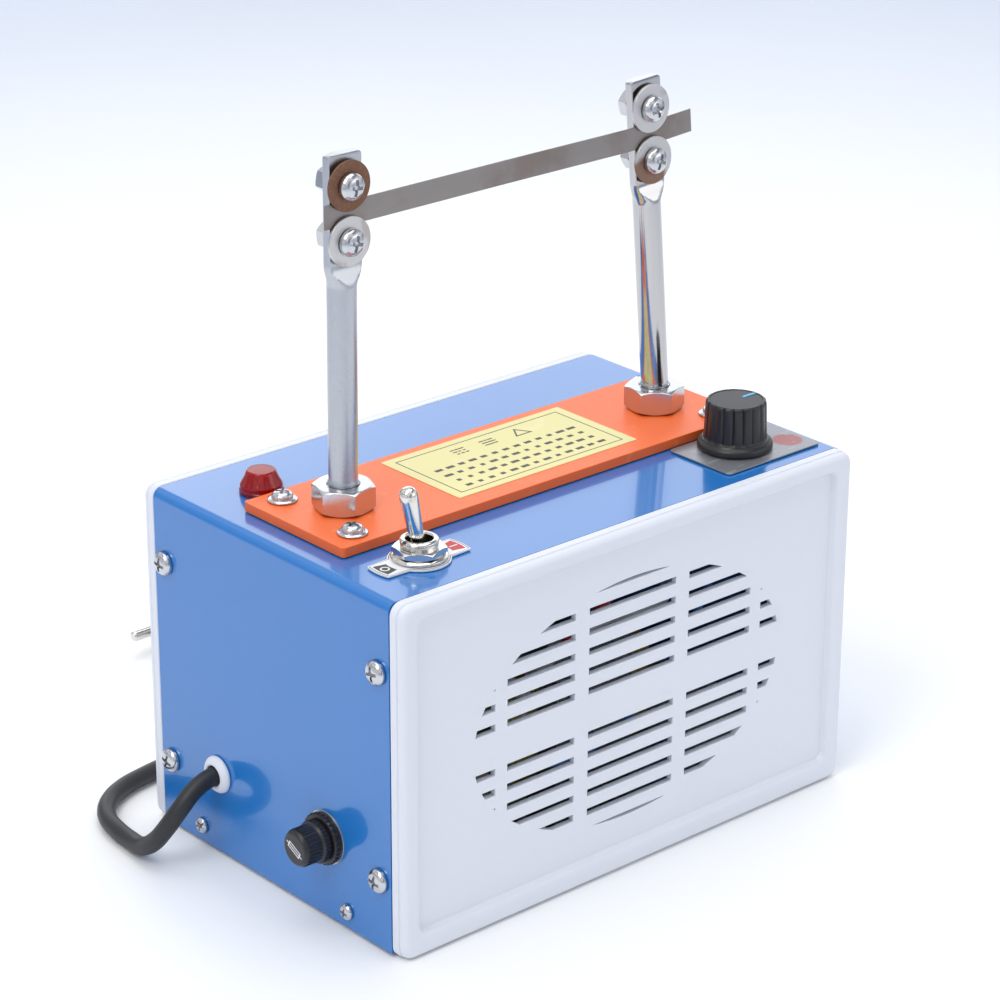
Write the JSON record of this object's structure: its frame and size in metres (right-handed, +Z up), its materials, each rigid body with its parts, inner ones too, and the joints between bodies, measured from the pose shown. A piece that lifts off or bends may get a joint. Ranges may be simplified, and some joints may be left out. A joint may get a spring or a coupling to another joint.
{
  "type": "hot blade ribbon cutter",
  "caption": "Bench-top hot cutter for ribbon and webbing: a heated strip blade between two posts on a vented steel case with a heat dial, switch, lamp, fuse and mains cord.",
  "frame": {"origin": "centre of the base tray's underside, on the surface that the case stands on", "axes": "+Z up, -Y the front with the vented bezel, -X the end with the cord and the fuse, +X the end with the heat dial"},
  "size_m": [0.2118, 0.2327, 0.2294],
  "materials": {
    "blue_paint": "gloss",
    "white_plastic": "satin",
    "tray_steel": "satin",
    "orange_board": "satin",
    "blade_steel": "satin",
    "nickel": "gloss",
    "white_label": "satin",
    "dial_aluminium": "satin",
    "black_plastic": "satin",
    "shaft_aluminium": "satin",
    "red_lens": "gloss",
    "fuse_glass": "gloss",
    "cord_rubber": "matte",
    "lamination_steel": "matte",
    "coil_tape": "satin",
    "board_green": "gloss",
    "zinc_plate": "satin"
  },
  "bodies": {
    "case": {"base_tray": "tray_steel", "bezel_screw_1": "zinc_plate", "bezel_screw_2": "zinc_plate", "bezel_screw_3": "zinc_plate", "bezel_screw_4": "zinc_plate", "bezel_screw_5": "zinc_plate", "bezel_screw_6": "zinc_plate", "bezel_screw_7": "zinc_plate", "bezel_screw_8": "zinc_plate", "blade": "blade_steel", "blade_left_nut_lower": "zinc_plate", "blade_left_nut_upper": "zinc_plate", "blade_left_screw_lower": "zinc_plate", "blade_left_screw_upper": "zinc_plate", "blade_left_washer_lower": "zinc_plate", "blade_left_washer_upper": "zinc_plate", "blade_right_nut_lower": "zinc_plate", "blade_right_nut_upper": "zinc_plate", "blade_right_screw_lower": "zinc_plate", "blade_right_screw_upper": "zinc_plate", "blade_right_washer_lower": "zinc_plate", "blade_right_washer_upper": "zinc_plate", "case_cover": "blue_paint", "control_board": "board_green", "cord_bushing": "white_plastic", "cord_coil": "cord_rubber", "dial_plate": "dial_aluminium", "dimmer_control": "black_plastic", "front_bezel": "white_plastic", "fuse_holder": "black_plastic", "insulator_plate": "orange_board", "lamp_holder": "black_plastic", "lamp_lens": "red_lens", "mains_plug": "cord_rubber", "plate_screw_1": "zinc_plate", "plate_screw_2": "zinc_plate", "plate_screw_3": "zinc_plate", "plate_screw_4": "zinc_plate", "post_left": "zinc_plate", "post_left_locknut": "zinc_plate", "post_left_nut": "zinc_plate", "post_right": "zinc_plate", "post_right_locknut": "zinc_plate", "post_right_nut": "zinc_plate", "power_cord": "cord_rubber", "rear_bezel": "white_plastic", "toggle_body": "nickel", "toggle_nut": "nickel", "toggle_plate": "white_label", "transformer_coil": "coil_tape", "transformer_core": "lamination_steel", "tray_screw_1": "zinc_plate", "tray_screw_2": "zinc_plate", "tray_screw_3": "zinc_plate", "tray_screw_4": "zinc_plate"},
    "toggle_lever": {"toggle_lever": "nickel"},
    "temperature_knob": {"knob": "black_plastic", "knob_shaft": "shaft_aluminium"},
    "fuse_carrier": {"fuse_tube": "fuse_glass"},
    "fuse_turn_cap": {"fuse_cap": "black_plastic"}
  },
  "joints": [
    {"name": "toggle_throw", "type": "hinge", "parent": "case", "child": "toggle_lever", "pos_m": [-0.0661, -0.0385, 0.1178], "axis": [0, 1, 0], "range_deg": [0, 24]},
    {"name": "knob_turn", "type": "hinge", "parent": "case", "child": "temperature_knob", "pos_m": [0.0656, -0.0369, 0.116], "axis": [0, 0, 1], "range_deg": [-60, 240]},
    {"name": "fuse_pull", "type": "slide", "parent": "case", "child": "fuse_carrier", "axis": [-1, 0, 0], "range_m": [0, 0.03]},
    {"name": "fuse_turn", "type": "hinge", "parent": "fuse_carrier", "child": "fuse_turn_cap", "pos_m": [-0.0952, -0.0263, 0.028], "axis": [-1, 0, 0], "range_deg": [0, 90]}
  ]
}
